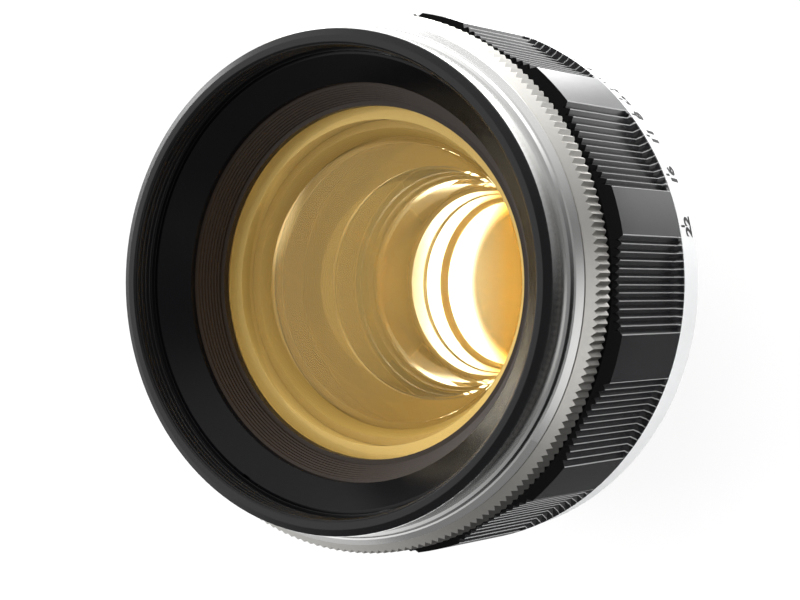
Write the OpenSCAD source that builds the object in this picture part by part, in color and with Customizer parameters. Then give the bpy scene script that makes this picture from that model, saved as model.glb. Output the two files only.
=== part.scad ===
// Fast 50 mm rangefinder-camera lens, in the pieces that it comes apart into.
// The lens axis is Z and the front looks along +Z. Z = 0 is the face that seats on the camera,
// and the focus index lies on the +Y side. Drawn focused at infinity with the iris fully open.

/* [Camera mount] */
// Outer radius of the screw thread that enters the camera
thread_r = 19.5; // [15:0.1:20]
// Length of that thread behind the seat
thread_h = 4.6; // [3:0.1:6]
// Outer radius of the seating flange
seat_r = 24.4; // [24:0.1:25.5]
// Thickness of the seating flange
seat_t = 1.6; // [1.2:0.1:2.4]
// Wall of the thread tube
thread_wall = 1.8; // [1.4:0.1:2.2]
// Height of the plated base below the depth scale ring
base_h = 5.3; // [5:0.1:8]
// Wall of the plated base round the seating flange
base_wall = 1.4; // [1.2:0.1:2]
// How far the rangefinder cam reaches behind the seat when focused at infinity
cam_reach = 7.6; // [7.5:0.1:9]
// Wall of the rangefinder cam tube
cam_wall = 1.1; // [0.8:0.1:1.4]

/* [Depth scale ring] */
// How far its front edge lies below the lands of the focus ring
scale_step = 0.15; // [0:0.05:0.6]
// Height of the ring
scale_h = 4.7; // [4:0.1:7]
// How much the ring narrows towards its rear edge
scale_taper = 0.25; // [0:0.05:0.6]

/* [Focus ring] */
// Wall of the ring under the smooth lands
focus_wall = 2.8; // [2.6:0.05:4.7]
// Height of the ring
focus_h = 17.1; // [16:0.1:22]
// Number of smooth lands, with a ribbed scallop after each
lands = 12; // [8:1:14]
// Angle that one land covers
land_angle = 10; // [8:0.5:12]
// How far the middle of a scallop lies below the lands
scallop_depth = 0.9; // [0.8:0.05:1.3]
// Number of grooves across one scallop
scallop_grooves = 12; // [8:1:14]
// Depth of the grooves between the ribs
groove_depth = 0.55; // [0.3:0.05:0.7]
// Size of the bevel on the ring's front edge
focus_bevel = 1.2; // [0.6:0.1:1.6]
// Height of the full rim behind the ribs
focus_rim = 0.4; // [0.3:0.05:1.2]
// How far the ribs climb towards that rim
rib_climb = 0.6; // [0.3:0.05:0.8]
// Angle of the first land's middle
first_land = 20; // [0:0.5:30]
// Turn from infinity to the closest focus
focus_turn = 165; // [120:1:180]
// Height of the wavy gap between the focus ring and the aperture ring
head_gap = 1.5; // [1:0.1:2.5]

/* [Focusing helicoids] */
// Wall of the head barrel out to the thread between the two helicoids
barrel_wall = 2.45; // [2.4:0.05:2.6]
// How far the head moves in one full turn
helicoid_lead = 6.1; // [4:0.1:7]
// How far the sleeve that the focus ring turns on lies outside that thread
journal_step = 0.8; // [0.7:0.05:1]
// Wall of the outer helicoid round that sleeve
helicoid_wall = 1.4; // [1.3:0.05:1.6]
// Width of a guide key
key_w = 4; // [3:0.1:6]

/* [Aperture ring] */
// Wall of the ring under the tips of the knurl
knurl_wall = 4.15; // [3.8:0.05:5]
// Number of teeth in the knurl
knurl_teeth = 212; // [120:1:240]
// Depth of a tooth
knurl_depth = 0.4; // [0.2:0.05:0.5]
// Height of the straight part of the knurl
knurl_h = 2.5; // [2:0.1:4]
// Height of the smooth cone in front of the knurl
cone_h = 1.4; // [1.2:0.1:2]
// How far the cone narrows up to the front collar
cone_run = 1.15; // [0.9:0.05:1.4]
// Angle between two click stops
click_angle = 7; // [5:0.5:8]
// Number of steps from the widest to the smallest opening
click_steps = 9; // [7:1:10]

/* [Front collar and rim] */
// Wall of the polished band round the black rim's sleeve
band_wall = 0.95; // [0.8:0.05:1.4]
// Height of the polished band
band_h = 3.4; // [3:0.1:6]
// Height of the rounded bead behind the band
bead_h = 1.6; // [1.4:0.1:2.2]
// Height of the black rim in front of the band
rim_h = 0.6; // [0.4:0.1:1.2]
// Wall radius of the filter thread
filter_r = 27.1; // [26.9:0.05:27.3]
// Depth of the filter thread behind the rim
filter_h = 3.2; // [3:0.1:4]

/* [Name ring and baffle] */
// Width of the ring's sloping face
name_w = 3; // [2.8:0.05:3.2]
// Depth of that slope
name_slope = 2.75; // [2.5:0.05:3]
// Inner radius of the ribbed baffle at its rear
baffle_r = 21.35; // [21.2:0.05:21.6]
// Number of ridges on the baffle
baffle_ridges = 8; // [5:1:9]

/* [Glass] */
// Radius of the front element
front_glass_r = 21.2; // [21:0.05:21.4]
// Clear radius of the retaining ring in front of it
front_clear_r = 20.75; // [20.3:0.05:20.9]
// Radius of the second element
second_glass_r = 17.2; // [16.8:0.05:17.4]
// Radius of the third element
third_glass_r = 16; // [15.6:0.05:16.1]
// Radius of the four rear elements
rear_glass_r = 12.6; // [12.3:0.05:12.7]

/* [Iris] */
// Open radius of the iris
iris_open_r = 12; // [11.5:0.1:12.1]
// Open radius of the iris at its smallest
iris_closed_r = 0.65; // [0.5:0.05:1.5]
// Thickness of a blade
blade_t = 0.1; // [0.06:0.01:0.11]
// Radius on which the blades pivot
pivot_r = 18; // [17.9:0.05:18.1]
// Length of the arm that carries a blade's drive pin
arm_l = 4.6; // [4.4:0.05:4.7]
// Radius of a blade's pins
pin_r = 0.38; // [0.3:0.02:0.4]

/* [Fits] */
// Gap between two seated pieces of one body
seat_gap = 0.05; // [0.03:0.01:0.06]
// Clearance of a turning or sliding fit
run_gap = 0.05; // [0.03:0.01:0.08]
// Gap between pieces that pass without guiding each other
free_gap = 0.3; // [0.25:0.05:0.35]
// Body radius of the small screws
screw_r = 0.6; // [0.5:0.05:0.7]

/* [Hidden] */
$fn = 120;
screw_faces = 24;
glass_faces = 400;
past = 1; // how far a cutter runs past the face that it leaves
blades = 10; // each iris blade is a node of its own

// The iris housing, and the radii that follow from it outwards
housing_r = pivot_r + arm_l + 1.05;
housing_wall_r = housing_r - 1.15;
barrel_bore = housing_r + 0.9;
helicoid_r = barrel_bore + barrel_wall;
helicoid_seat_r = helicoid_r - 1.4;
journal_r = helicoid_r + journal_step;
helicoid_outer_r = journal_r + helicoid_wall;
scale_seat_r = helicoid_outer_r + free_gap;
focus_r = helicoid_outer_r + seat_gap + focus_wall;
scale_r = focus_r - scale_step;
journal_front_r = helicoid_r + 0.25;
knurl_r = journal_front_r + run_gap + knurl_wall;
cone_r = knurl_r - cone_run;
collar_skirt_r = cone_r - 0.8;
rim_sleeve_r = filter_r + 0.85;
band_r = rim_sleeve_r + band_wall;
base_r = seat_r + base_wall;

// Heights of the outer rings, from the seat forwards
scale_z = base_h;
focus_z = scale_z + scale_h + free_gap;
focus_top = focus_z + focus_h;
aperture_z = focus_top + head_gap;
cone_z = aperture_z + knurl_h;
collar_z = cone_z + cone_h + seat_gap;
band_z = collar_z + bead_h;
rim_z = band_z + band_h;
front_z = rim_z + rim_h;
travel = helicoid_lead * focus_turn / 360;

// The fixed base, its sleeve and the cavity that the head moves in
floor_z = base_h + 1.1;
shoulder_z = scale_z + scale_h;
skirt_h = 3;
skirt_z = shoulder_z + free_gap;
skirt_top = skirt_z + skirt_h;
sleeve_top = skirt_top + free_gap;
retainer_t = 1.2;
retainer_r = journal_r + 0.5;
shaft_z = sleeve_top + retainer_t + 2 * free_gap;
tail_r = helicoid_r - 1;
cavity_r = tail_r + free_gap;
key_depth = 0.9;
keyway_r = tail_r - key_depth;
key_angles = [150, 330];
key_seat = 0.6;
cam_r = thread_r - thread_wall - free_gap;
mount_screw_angles = [0, 90, 180, 270];
mount_screw_ring = (thread_r + seat_r) / 2;
mount_head_t = 0.8;

// The focus ring's outline
land_pitch = 360 / lands;
scallop_half = (land_pitch - land_angle) / 2;
scallop_mid = focus_r - scallop_depth;
corner_lift = 0.03; // carries the ends of a scallop clear of the lands
scallop_corner = (focus_r + corner_lift) * [cos(scallop_half), sin(scallop_half)];
scallop_sag = scallop_corner[0] - scallop_mid;
scallop_r = (scallop_corner[1] * scallop_corner[1] + scallop_sag * scallop_sag)
    / (2 * scallop_sag);
scallop_x = scallop_mid + scallop_r;
focus_lip_t = 0.7;
lip_z = focus_top - focus_lip_t - 0.2;
lip_screw_r = (helicoid_r + helicoid_outer_r) / 2 + 0.15;
stop_pin_r = 0.4;
stop_track_r = (journal_r + run_gap + helicoid_outer_r) / 2 + 0.15;
stop_angle = 200;
focus_screw_angles = [40, 160, 280];
helicoid_top = lip_z - 2.5;

// The head: a barrel with the cells in front of and behind the iris
barrel_z = floor_z + 1.8;
key_z = barrel_z + 0.3;
barrel_floor_t = 0.8;
cam_flange_t = 1.2;
cam_flange_r = cam_r + 4.6;
cam_screw_angles = [30, 150, 270];
cam_screw_ring = (cam_r + cam_flange_r) / 2;
housing_z = barrel_z + barrel_floor_t;
housing_floor_t = 0.9;
blade_gap = 0.06;
blade_step = blade_t + blade_gap;
blade_z = housing_z + housing_floor_t + seat_gap;
blades_top = blade_z + blades * blade_step;
housing_top = blades_top;
actuator_z = housing_top + free_gap;
actuator_t = 1;
sleeve_r = barrel_bore - 0.25;
sleeve_wall = 0.6;
cell_r = sleeve_r - sleeve_wall - free_gap;
barrel_top = aperture_z + 1.5;
shoulder_t = 0.8;
click_angle_on_barrel = 60;
click_r = 0.5;
click_z = barrel_top - 0.85;
cell_flange_t = 1;
web_z = barrel_top + cell_flange_t + 2 * seat_gap;
web_t = 0.8;
drive_angle = 235;
drive_z = barrel_top - 0.9;
drive_r = 0.5;
aperture_turn = click_angle * click_steps;
collar_screw_ring = (barrel_bore + journal_front_r) / 2;
collar_screw_angles = [15, 105, 330];

// Name ring, baffle and front retaining ring
name_z = front_z - filter_h - seat_gap;
name_seat_r = filter_r - 0.5;
name_face_r = filter_r - 0.9;
name_inner_r = name_face_r - name_w;
web_r = name_inner_r + 1.4;
notch_angle = 96;
name_lip_z = name_z - name_slope;
name_t = 0.8;
baffle_h = 3.4;
baffle_z = name_lip_z - baffle_h;
front_retainer_t = 1.05;

// The glass: where each face crosses the axis, and its radius of curvature. A positive bend
// bulges out of the element, and a negative one is hollow.
glass_edge_z = baffle_z - front_retainer_t;
e1_t = 6;
e1_front_bend = 38;
e1_front = glass_edge_z + sag(e1_front_bend, front_clear_r);
e1_rear = e1_front - e1_t;
e1_rear_bend = -130;
e1_seat_z = e1_rear - sag(e1_rear_bend, front_glass_r) - seat_gap;
cell_bore = front_glass_r + 1.4;
gap_12 = 0.5;
e2_t = 7.5;
e2_front = e1_rear - gap_12;
e2_front_bend = 26;
e2_rear = e2_front - e2_t;
e2_edge_z = e2_front - sag(e2_front_bend, second_glass_r);
retainer_2_r = second_glass_r + 1.8;
retainer_2_z = e2_edge_z + 0.35;
retainer_2_t = 1.85;
cement_t = 0.02; // between two elements that are cemented together
e3_t = 1.6;
e3_rear = e2_rear - e3_t;
e3_rear_bend = -15.5;
e3_clear_r = iris_open_r + 0.3;
e3_rim_z = e3_rear - sag(e3_rear_bend, e3_clear_r);
actuator_bore = third_glass_r + 1.3;
rear_lip_z = housing_z - 0.6;
e4_t = 1.43;
e4_front_bend = -16.5;
e4_clear_r = iris_open_r - 0.6;
e4_front = rear_lip_z - sag(e4_front_bend, e4_clear_r);
e4_rear = e4_front - e4_t;
e5_t = 4.9;
e5_rear = e4_rear - e5_t;
e5_rear_bend = 22;
gap_56 = 0.25;
e6_t = 2.25;
e6_front = e5_rear - gap_56;
e6_front_bend = -70;
e6_rear = e6_front - e6_t;
e6_rear_bend = 30;
gap_67 = 0.2;
e7_t = 1.8;
e7_front = e6_rear - gap_67;
e7_front_bend = 90;
e7_rear = e7_front - e7_t;
spacer_wall = 0.6;
spacer_r = rear_glass_r - spacer_wall;
rear_cell_wall = 2.55;
rear_cell_r = rear_glass_r + rear_cell_wall;
rear_cell_step = 2.2;
rear_bore = rear_glass_r + seat_gap;
rear_end = e7_rear - 0.45;

// The iris: a blade swings about its pivot until the edge that was clear of the opening
// leaves only the smallest one
blade_inner_r = iris_open_r + 0.3;
blade_outer_r = pivot_r - 0.6;
blade_swing = 2 * asin((blade_inner_r - iris_closed_r) / (2 * pivot_r));
blade_span = 98;
arm_lead = 5; // angle of the drive arm ahead of square to the radius, with the iris open
ear_r = 1.2;
arm_w = 1.5;
slot_w = 2 * (pin_r + run_gap) + 0.04;
slot_steps = 16;

function sag(bend, r) = abs(bend) - sqrt(bend * bend - r * r);
function polar(r, a) = [r * cos(a), r * sin(a)];
// Where a drive pin lies in the turning actuator when a share t of the closing is done
function pin_at(t) = let (
        arm = arm_lead + t * blade_swing,
        x = pivot_r + arm_l * sin(arm),
        y = -arm_l * cos(arm),
        turn = -t * aperture_turn)
    [x * cos(turn) - y * sin(turn), x * sin(turn) + y * cos(turn)];
function pin_side(t, side) = let (
        step = pin_at(t + 0.01) - pin_at(t - 0.01),
        square = [-step[1], step[0]] / norm(step))
    pin_at(t) + side * slot_w / 2 * square;
// Angle of iris blade number i
function blade_angle(i) = 360 / blades * i;

// A turned piece, from the corners (radius, height) of its section
module turned(section) {
    rotate_extrude() polygon(section);
}

module tube(r_in, r_out, low, high) {
    turned([[r_in, low], [r_out, low], [r_out, high], [r_in, high]]);
}

// Puts copies of something at the given angles round the axis
module round_axis(angles) {
    for (a = angles) rotate([0, 0, a]) children();
}

// A cylinder cutter or screw body that stands on the ring of radius r
module post(ring_r, r, low, high) {
    translate([ring_r, 0, low]) cylinder(h = high - low, r = r, $fn = screw_faces);
}

// Gives its child a spherical face that crosses the axis at z. side is 1 in front, -1 behind.
module ground_face(z, bend, side) {
    if (bend > 0) intersection() {
        children();
        translate([0, 0, z - side * bend]) sphere(r = bend, $fn = glass_faces);
    }
    else difference() {
        children();
        translate([0, 0, z - side * bend]) sphere(r = -bend, $fn = glass_faces);
    }
}

// ---- Fixed to the camera ----

module mount_ring() color("silver") difference() {
    union() {
        tube(thread_r - thread_wall, thread_r, -thread_h, seat_t);
        tube(thread_r - thread_wall, seat_r, 0, seat_t);
    }
    round_axis(mount_screw_angles) {
        post(mount_screw_ring, screw_r + seat_gap, -past, seat_t + past);
        post(mount_screw_ring, 2 * screw_r + seat_gap, -past, mount_head_t + seat_gap);
    }
}

module mount_screws() color("silver") round_axis(mount_screw_angles) difference() {
    union() {
        post(mount_screw_ring, screw_r, mount_head_t - seat_gap, base_h - 0.6);
        post(mount_screw_ring, 2 * screw_r, 0.1, mount_head_t);
    }
    translate([mount_screw_ring - 2 * screw_r, -screw_r / 4, 0])
        cube([4 * screw_r, screw_r / 2, 0.35]);
}

module mount_base() color("gainsboro") difference() {
    turned([
        [cam_r + free_gap, seat_t + seat_gap],
        [seat_r + seat_gap, seat_t + seat_gap],
        [seat_r + seat_gap, 0.4],
        [base_r - 0.3, 0.4],
        [base_r, 0.7],
        [base_r, base_h - 1.9],
        [scale_seat_r - 0.6, scale_z],
        [scale_seat_r, scale_z],
        [scale_seat_r, shoulder_z],
        [journal_r, shoulder_z],
        [journal_r, sleeve_top],
        [cavity_r, sleeve_top],
        [cavity_r, floor_z],
        [cam_r + free_gap, floor_z]]);
    round_axis(mount_screw_angles)
        post(mount_screw_ring, screw_r + seat_gap, 0, base_h - 0.5);
    rotate([0, 0, stop_angle])
        post(stop_track_r, stop_pin_r + seat_gap, shoulder_z - 1.5, shoulder_z + past);
    round_axis(key_angles) key_block(key_w + 2 * seat_gap, cavity_r + key_seat + seat_gap,
        key_z - seat_gap, sleeve_top + past);
}

// A guide key, or the pocket that it sits in, from the keyway out to radius r
module key_block(w, r, low, high) {
    translate([keyway_r + run_gap, -w / 2, low])
        cube([r - keyway_r - run_gap, w, high - low]);
}

module guide_keys() color("goldenrod") round_axis(key_angles)
    key_block(key_w, cavity_r + key_seat, key_z, sleeve_top - seat_gap);

module bearing_retainer() color("dimgray")
    tube(cavity_r, retainer_r, sleeve_top, sleeve_top + retainer_t);

module focus_stop_pin() color("silver") rotate([0, 0, stop_angle])
    post(stop_track_r, stop_pin_r, shoulder_z - 1.4, skirt_z + 1);

module depth_scale_ring() color("whitesmoke") turned([
    [scale_seat_r + seat_gap, scale_z],
    [scale_r - scale_taper - 0.25, scale_z],
    [scale_r - scale_taper, scale_z + 0.25],
    [scale_r, shoulder_z - 0.15],
    [scale_r - 0.15, shoulder_z],
    [scale_seat_r + seat_gap, shoulder_z]]);

// ---- Turned by the focus ring ----

// The part of a scallop that is cut away, with the ribs left standing in it. skip leaves that
// many half grooves uncut at each end.
module scallop_section(skip) {
    half_groove = scallop_half / scallop_grooves;
    end = scallop_half - skip * half_groove;
    far = focus_r + past;
    flank = [for (i = [skip : 2 * scallop_grooves - skip]) let (
            a = i * half_groove - scallop_half)
        on_scallop(a, i % 2 == 0 ? scallop_r : scallop_r + groove_depth)];
    polygon(concat(flank, [polar(far, end), polar(far / cos(end), 0), polar(far, -end)]));
}

// The ribs climb towards the rim behind them, then run straight to the front
module scallop_cut() {
    climb = 1 + rib_climb / scallop_mid;
    translate([0, 0, focus_z + focus_rim])
        linear_extrude(rib_climb, scale = 1 / climb) scale(climb) scallop_section(1);
    translate([0, 0, focus_z + focus_rim + rib_climb])
        linear_extrude(focus_h) scallop_section(0);
}

// Where the ray at angle a meets the hollow circle of radius r outside the ring
function on_scallop(a, r) = let (
        along = scallop_x * cos(a),
        across = scallop_x * sin(a))
    polar(along - sqrt(r * r - across * across), a);

module focus_ring() color([0.09, 0.09, 0.09]) difference() {
    // the front edge is bevelled right through the ribs; the section is closed on a land
    rotate([0, 0, first_land]) turned([[helicoid_outer_r + seat_gap, focus_z],
        [focus_r - 0.1, focus_z],
        [focus_r, focus_z + 0.1],
        [focus_r, focus_top - focus_bevel],
        [focus_r - focus_bevel, focus_top],
        [helicoid_r + 0.4, focus_top],
        [helicoid_r + 0.4, lip_z],
        [helicoid_outer_r + seat_gap, lip_z]]);
    round_axis([for (i = [0 : lands - 1]) first_land + land_pitch * (i + 0.5)]) scallop_cut();
    round_axis(focus_screw_angles)
        post(lip_screw_r, screw_r + seat_gap, lip_z - past, focus_top + past);
}

module outer_helicoid() color("darkgoldenrod") difference() {
    turned([
        [journal_r + run_gap, skirt_z],
        [helicoid_outer_r, skirt_z],
        [helicoid_outer_r, lip_z - seat_gap],
        [helicoid_r, lip_z - seat_gap],
        [helicoid_r, shaft_z],
        [retainer_r + free_gap, shaft_z],
        [retainer_r + free_gap, skirt_top],
        [journal_r + run_gap, skirt_top]]);
    round_axis(focus_screw_angles) post(lip_screw_r, screw_r + seat_gap, lip_z - 2.6, lip_z);
    // the track in which the fixed stop pin ends the turn at both limits
    stop_half = asin((stop_pin_r + seat_gap) / stop_track_r);
    rotate([0, 0, stop_angle - stop_half - 1])
        translate([0, 0, skirt_z - past])
        rotate_extrude(angle = focus_turn + 2 * stop_half + 2)
        translate([stop_track_r - stop_pin_r - 0.1, 0])
        square([helicoid_outer_r, past + 1.3]);
}

module focus_ring_screws() color("silver") round_axis(focus_screw_angles)
    post(lip_screw_r, screw_r, lip_z - 2.5, focus_top - 0.3);

// ---- Moved along the axis by the helicoids ----

module head_barrel() color([0.12, 0.12, 0.12]) difference() {
    turned([
        [rear_cell_r + seat_gap, barrel_z],
        [tail_r, barrel_z],
        [tail_r, shaft_z],
        [helicoid_seat_r, shaft_z],
        [helicoid_seat_r, helicoid_top],
        [helicoid_r - run_gap - 0.1, helicoid_top],
        [helicoid_r - run_gap - 0.1, aperture_z - seat_gap - shoulder_t],
        [journal_front_r + 1.2, aperture_z - seat_gap - shoulder_t],
        [journal_front_r + 1.2, aperture_z - seat_gap],
        [journal_front_r, aperture_z - seat_gap],
        [journal_front_r, barrel_top],
        [barrel_bore, barrel_top],
        [barrel_bore, housing_top],
        [housing_r + seat_gap, housing_top],
        [housing_r + seat_gap, housing_z],
        [rear_cell_r + seat_gap, housing_z]]);
    // keyways, open at the rear
    round_axis(key_angles) translate([keyway_r, -key_w / 2 - run_gap, barrel_z - past])
        cube([key_depth + past, key_w + 2 * run_gap, sleeve_top - barrel_z + 2 * past]);
    // the window in which the drive screw swings, open at the front
    window = asin((drive_r + 0.2) / barrel_bore);
    rotate([0, 0, drive_angle - aperture_turn - window])
        translate([0, 0, drive_z - drive_r - 0.15])
        rotate_extrude(angle = aperture_turn + 2 * window)
        translate([barrel_bore - past, 0]) square([5, 4]);
    round_axis(collar_screw_angles)
        post(collar_screw_ring, screw_r + seat_gap, barrel_top - 2, barrel_top + past);
    click_hole(click_r + run_gap);
}

module inner_helicoid() color("darkgoldenrod")
    tube(helicoid_seat_r + seat_gap, helicoid_r - run_gap, shaft_z + seat_gap,
        helicoid_top - seat_gap);

// The click ball and its spring sit in a blind hole across the barrel's front bearing
module click_hole(r) {
    rotate([0, 0, click_angle_on_barrel]) translate([journal_front_r - 2, 0, click_z])
        rotate([0, 90, 0]) cylinder(h = 2 + past, r = r, $fn = screw_faces);
}

module click_ball() color("silver") rotate([0, 0, click_angle_on_barrel])
    translate([journal_front_r - click_r, 0, click_z]) sphere(r = click_r);

module click_spring() color("gray") rotate([0, 0, click_angle_on_barrel])
    translate([journal_front_r - 2 + seat_gap, 0, click_z]) rotate([0, 90, 0])
    difference() {
        cylinder(h = 2 - 2 * click_r - 2 * seat_gap, r = click_r - 0.05, $fn = screw_faces);
        translate([0, 0, -past]) cylinder(h = 2 + past, r = click_r / 2, $fn = screw_faces);
    }

module rangefinder_cam() color("gainsboro") difference() {
    union() {
        tube(cam_r - cam_wall, cam_r, -cam_reach, barrel_z - seat_gap);
        tube(cam_r - cam_wall, cam_flange_r, barrel_z - cam_flange_t, barrel_z - seat_gap);
    }
    round_axis(cam_screw_angles)
        post(cam_screw_ring, screw_r + seat_gap, barrel_z - 3, barrel_z + past);
}

module cam_screws() color("silver") round_axis(cam_screw_angles)
    post(cam_screw_ring, screw_r, barrel_z - cam_flange_t, barrel_z - seat_gap);

module front_collar() color("lightgray") difference() {
    turned([
        [web_r, web_z],
        [collar_skirt_r, web_z],
        [collar_skirt_r, collar_z],
        [cone_r, collar_z],
        [cone_r, collar_z + 0.25],
        [band_r + 0.75, band_z - 0.7],
        [band_r + 0.55, band_z - 0.65],
        [band_r + 0.35, band_z - 0.1],
        [band_r, band_z],
        [band_r, rim_z],
        [rim_sleeve_r + seat_gap, rim_z],
        [rim_sleeve_r + seat_gap, web_z + web_t],
        [web_r, web_z + web_t]]);
    round_axis(collar_screw_angles)
        post(collar_screw_ring, screw_r + seat_gap, web_z - past, web_z + web_t + past);
}

module front_rim() color([0.1, 0.1, 0.1]) turned([
    [filter_r, name_z],
    [name_seat_r, name_z],
    [name_seat_r, name_z - 1.6],
    [rim_sleeve_r, name_z - 1.6],
    [rim_sleeve_r, rim_z + seat_gap],
    [band_r - 0.05, rim_z + seat_gap],
    [band_r - 0.05, front_z - 0.45],
    [band_r - 0.85, front_z],
    [filter_r + 0.2, front_z],
    [filter_r, front_z - 0.2]]);

module collar_screws() color("silver") round_axis(collar_screw_angles) union() {
    post(collar_screw_ring, screw_r, barrel_top - 1.9, web_z + web_t + seat_gap);
    post(collar_screw_ring, 1.6 * screw_r, web_z + web_t + seat_gap, web_z + web_t + 0.6);
}

module name_ring() color([0.06, 0.06, 0.06]) difference() {
    turned([
        [name_inner_r, name_lip_z],
        [name_face_r, name_z],
        [name_seat_r - seat_gap, name_z],
        [name_seat_r - seat_gap, name_z - 1],
        [name_face_r, name_z - 1],
        [name_inner_r + name_t, name_lip_z - name_t],
        [name_inner_r, name_lip_z - name_t]]);
    // two notches for the spanner that unscrews the ring
    round_axis([notch_angle, notch_angle + 180])
        translate([name_face_r, -0.5, name_z - 0.5]) cube([past, 1, 1]);
}

module front_baffle() color([0.32, 0.24, 0.17]) {
    height = name_lip_z - name_t - seat_gap - baffle_z;
    ridge = height / baffle_ridges;
    flare = (name_inner_r - 0.15 - baffle_r) / baffle_ridges;
    steps = [for (i = [0 : baffle_ridges - 1]) each [
        [baffle_r + flare * i, baffle_z + ridge * i],
        [baffle_r + flare * i, baffle_z + ridge * (i + 0.55)],
        [baffle_r + flare * (i + 0.9), baffle_z + ridge * (i + 0.75)]]];
    turned(concat(steps, [
        [name_inner_r, baffle_z + height],
        [name_inner_r + 0.45, baffle_z + height],
        [name_inner_r + 0.45, barrel_top + 0.7],
        [cell_bore - 0.1, barrel_top - 2 * seat_gap],
        [cell_bore - 0.1, baffle_z]]));
}

// The cell in front of the iris carries the first three elements
module front_cell() color([0.15, 0.15, 0.15]) difference() {
    turned([
        [e3_clear_r + 0.3, e3_rim_z - 0.5],
        [actuator_bore - free_gap, e3_rim_z - 0.5],
        [actuator_bore - free_gap, actuator_z + actuator_t + free_gap],
        [cell_r, actuator_z + actuator_t + free_gap],
        [cell_r, barrel_top + seat_gap],
        [journal_front_r - 0.35, barrel_top + seat_gap],
        [journal_front_r - 0.35, barrel_top + seat_gap + cell_flange_t],
        [name_inner_r + name_t + 0.3, barrel_top + seat_gap + cell_flange_t],
        [name_inner_r + name_t + 0.3, barrel_top + 0.7],
        [cell_bore, barrel_top - seat_gap],
        [cell_bore, glass_edge_z - 0.2],
        [front_glass_r + seat_gap, glass_edge_z - 0.2],
        [front_glass_r + seat_gap, e1_seat_z],
        [retainer_2_r + seat_gap, e1_seat_z],
        [retainer_2_r + seat_gap, e2_edge_z],
        [second_glass_r + seat_gap, e2_edge_z],
        [second_glass_r + seat_gap, e2_rear - seat_gap],
        [third_glass_r + seat_gap, e2_rear - seat_gap],
        [third_glass_r + seat_gap, e3_rim_z - seat_gap],
        [e3_clear_r + 0.3, e3_rim_z - seat_gap]]);
    round_axis(collar_screw_angles)
        post(collar_screw_ring, screw_r + seat_gap, barrel_top - past, web_z + past);
}

module front_retainer() color([0.12, 0.09, 0.07])
    tube(front_clear_r, cell_bore - seat_gap, glass_edge_z + seat_gap, baffle_z - seat_gap);

module element_2_retainer() color([0.1, 0.1, 0.1]) turned([
    [second_glass_r - 0.2, retainer_2_z],
    [retainer_2_r, retainer_2_z],
    [retainer_2_r, retainer_2_z + retainer_2_t],
    [second_glass_r + 0.8, retainer_2_z + retainer_2_t]]);

module element_1() color([0.9, 0.75, 0.45, 0.5])
    ground_face(e1_front, e1_front_bend, 1) ground_face(e1_rear, e1_rear_bend, -1)
    glass_blank(front_glass_r, e1_seat_z + seat_gap, e1_front);

module element_2() color([0.9, 0.8, 0.6, 0.5])
    ground_face(e2_front, e2_front_bend, 1)
    glass_blank(second_glass_r, e2_rear, e2_front);

module element_3() color([0.85, 0.7, 0.45, 0.5])
    ground_face(e3_rear, e3_rear_bend, -1)
    glass_blank(third_glass_r, e3_rim_z, e2_rear - cement_t);

module element_4() color([0.85, 0.7, 0.45, 0.5])
    ground_face(e4_front, e4_front_bend, 1)
    glass_blank(rear_glass_r, e4_rear, rear_lip_z - seat_gap);

module element_5() color([0.9, 0.8, 0.6, 0.5])
    ground_face(e5_rear, e5_rear_bend, -1)
    glass_blank(rear_glass_r, e5_rear, e4_rear - cement_t);

module element_6() color([0.9, 0.8, 0.6, 0.5])
    ground_face(e6_front, e6_front_bend, 1) ground_face(e6_rear, e6_rear_bend, -1)
    glass_blank(rear_glass_r, e6_rear, e6_front + sag(e6_front_bend, rear_glass_r));

module element_7() color([0.9, 0.8, 0.6, 0.5])
    ground_face(e7_front, e7_front_bend, 1)
    glass_blank(rear_glass_r, e7_rear, e7_front);

module glass_blank(r, low, high) {
    translate([0, 0, low]) cylinder(h = high - low, r = r);
}

// The cell behind the iris carries the last four elements
module rear_cell() color([0.15, 0.15, 0.15]) turned([
    [rear_bore, rear_end],
    [rear_cell_r - 0.6, rear_end],
    [rear_cell_r - 0.6, barrel_z - rear_cell_step],
    [rear_cell_r, barrel_z - rear_cell_step],
    [rear_cell_r, housing_z - 0.1],
    [e4_clear_r + 0.4, housing_z - 0.1],
    [e4_clear_r + 0.4, rear_lip_z],
    [rear_bore, rear_lip_z]]);

module rear_spacer_1() color("dimgray")
    tube(spacer_r, rear_glass_r, e6_front + sag(e6_front_bend, rear_glass_r) + seat_gap,
        e5_rear + sag(e5_rear_bend, spacer_r) - seat_gap);

module rear_spacer_2() color("dimgray")
    tube(spacer_r, rear_glass_r, e7_front - sag(e7_front_bend, spacer_r) + seat_gap,
        e6_rear + sag(e6_rear_bend, spacer_r) - seat_gap);

module rear_retainer() color("dimgray")
    tube(rear_glass_r - 2 * spacer_wall, rear_glass_r, rear_end, e7_rear - seat_gap);

module iris_housing() color([0.13, 0.13, 0.13]) difference() {
    turned([
        [iris_open_r + 0.1, housing_z],
        [housing_r, housing_z],
        [housing_r, housing_top],
        [housing_wall_r, housing_top],
        [housing_wall_r, housing_z + housing_floor_t],
        [iris_open_r + 0.1, housing_z + housing_floor_t]]);
    round_axis([for (i = [0 : blades - 1]) blade_angle(i)])
        post(pivot_r, pin_r + run_gap, housing_z - past, blade_z + past);
}

// ---- Turned by the aperture ring ----

module knurl(low, high) {
    translate([0, 0, low]) linear_extrude(high - low)
        polygon([for (i = [0 : 2 * knurl_teeth - 1])
            polar(i % 2 == 0 ? knurl_r : knurl_r - knurl_depth, 180 / knurl_teeth * i)]);
}

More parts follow.
